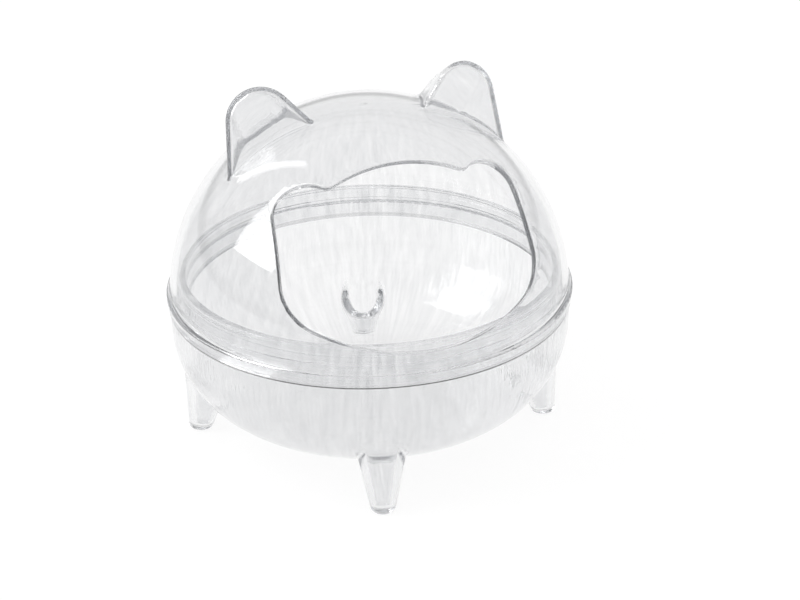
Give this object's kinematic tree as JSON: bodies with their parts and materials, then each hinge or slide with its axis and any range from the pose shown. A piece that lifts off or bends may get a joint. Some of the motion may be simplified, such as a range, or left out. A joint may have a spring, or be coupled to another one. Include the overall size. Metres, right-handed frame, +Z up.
{
  "type": "small pet sand bath",
  "caption": "Clear round sand bath for a small pet: a deep bowl on short feet and a lift-off dome lid with two ears and an entrance shaped like a cat's head.",
  "frame": {"origin": "on the table at the middle of the feet, under the dome's axis", "axes": "+Z up through the dome's crown, -Y out of the entrance, +X to the right of someone facing the entrance"},
  "size_m": [0.0924, 0.0924, 0.0851],
  "materials": {
    "clear_lid": "gloss",
    "clear_bowl": "gloss"
  },
  "bodies": {
    "bowl": {"bowl": "clear_bowl"},
    "lid": {"lid": "clear_lid"}
  },
  "joints": [
    {"name": "lid_lift", "type": "slide", "parent": "bowl", "child": "lid", "axis": [0, 0, 1], "range_m": [0, 0.06]}
  ]
}
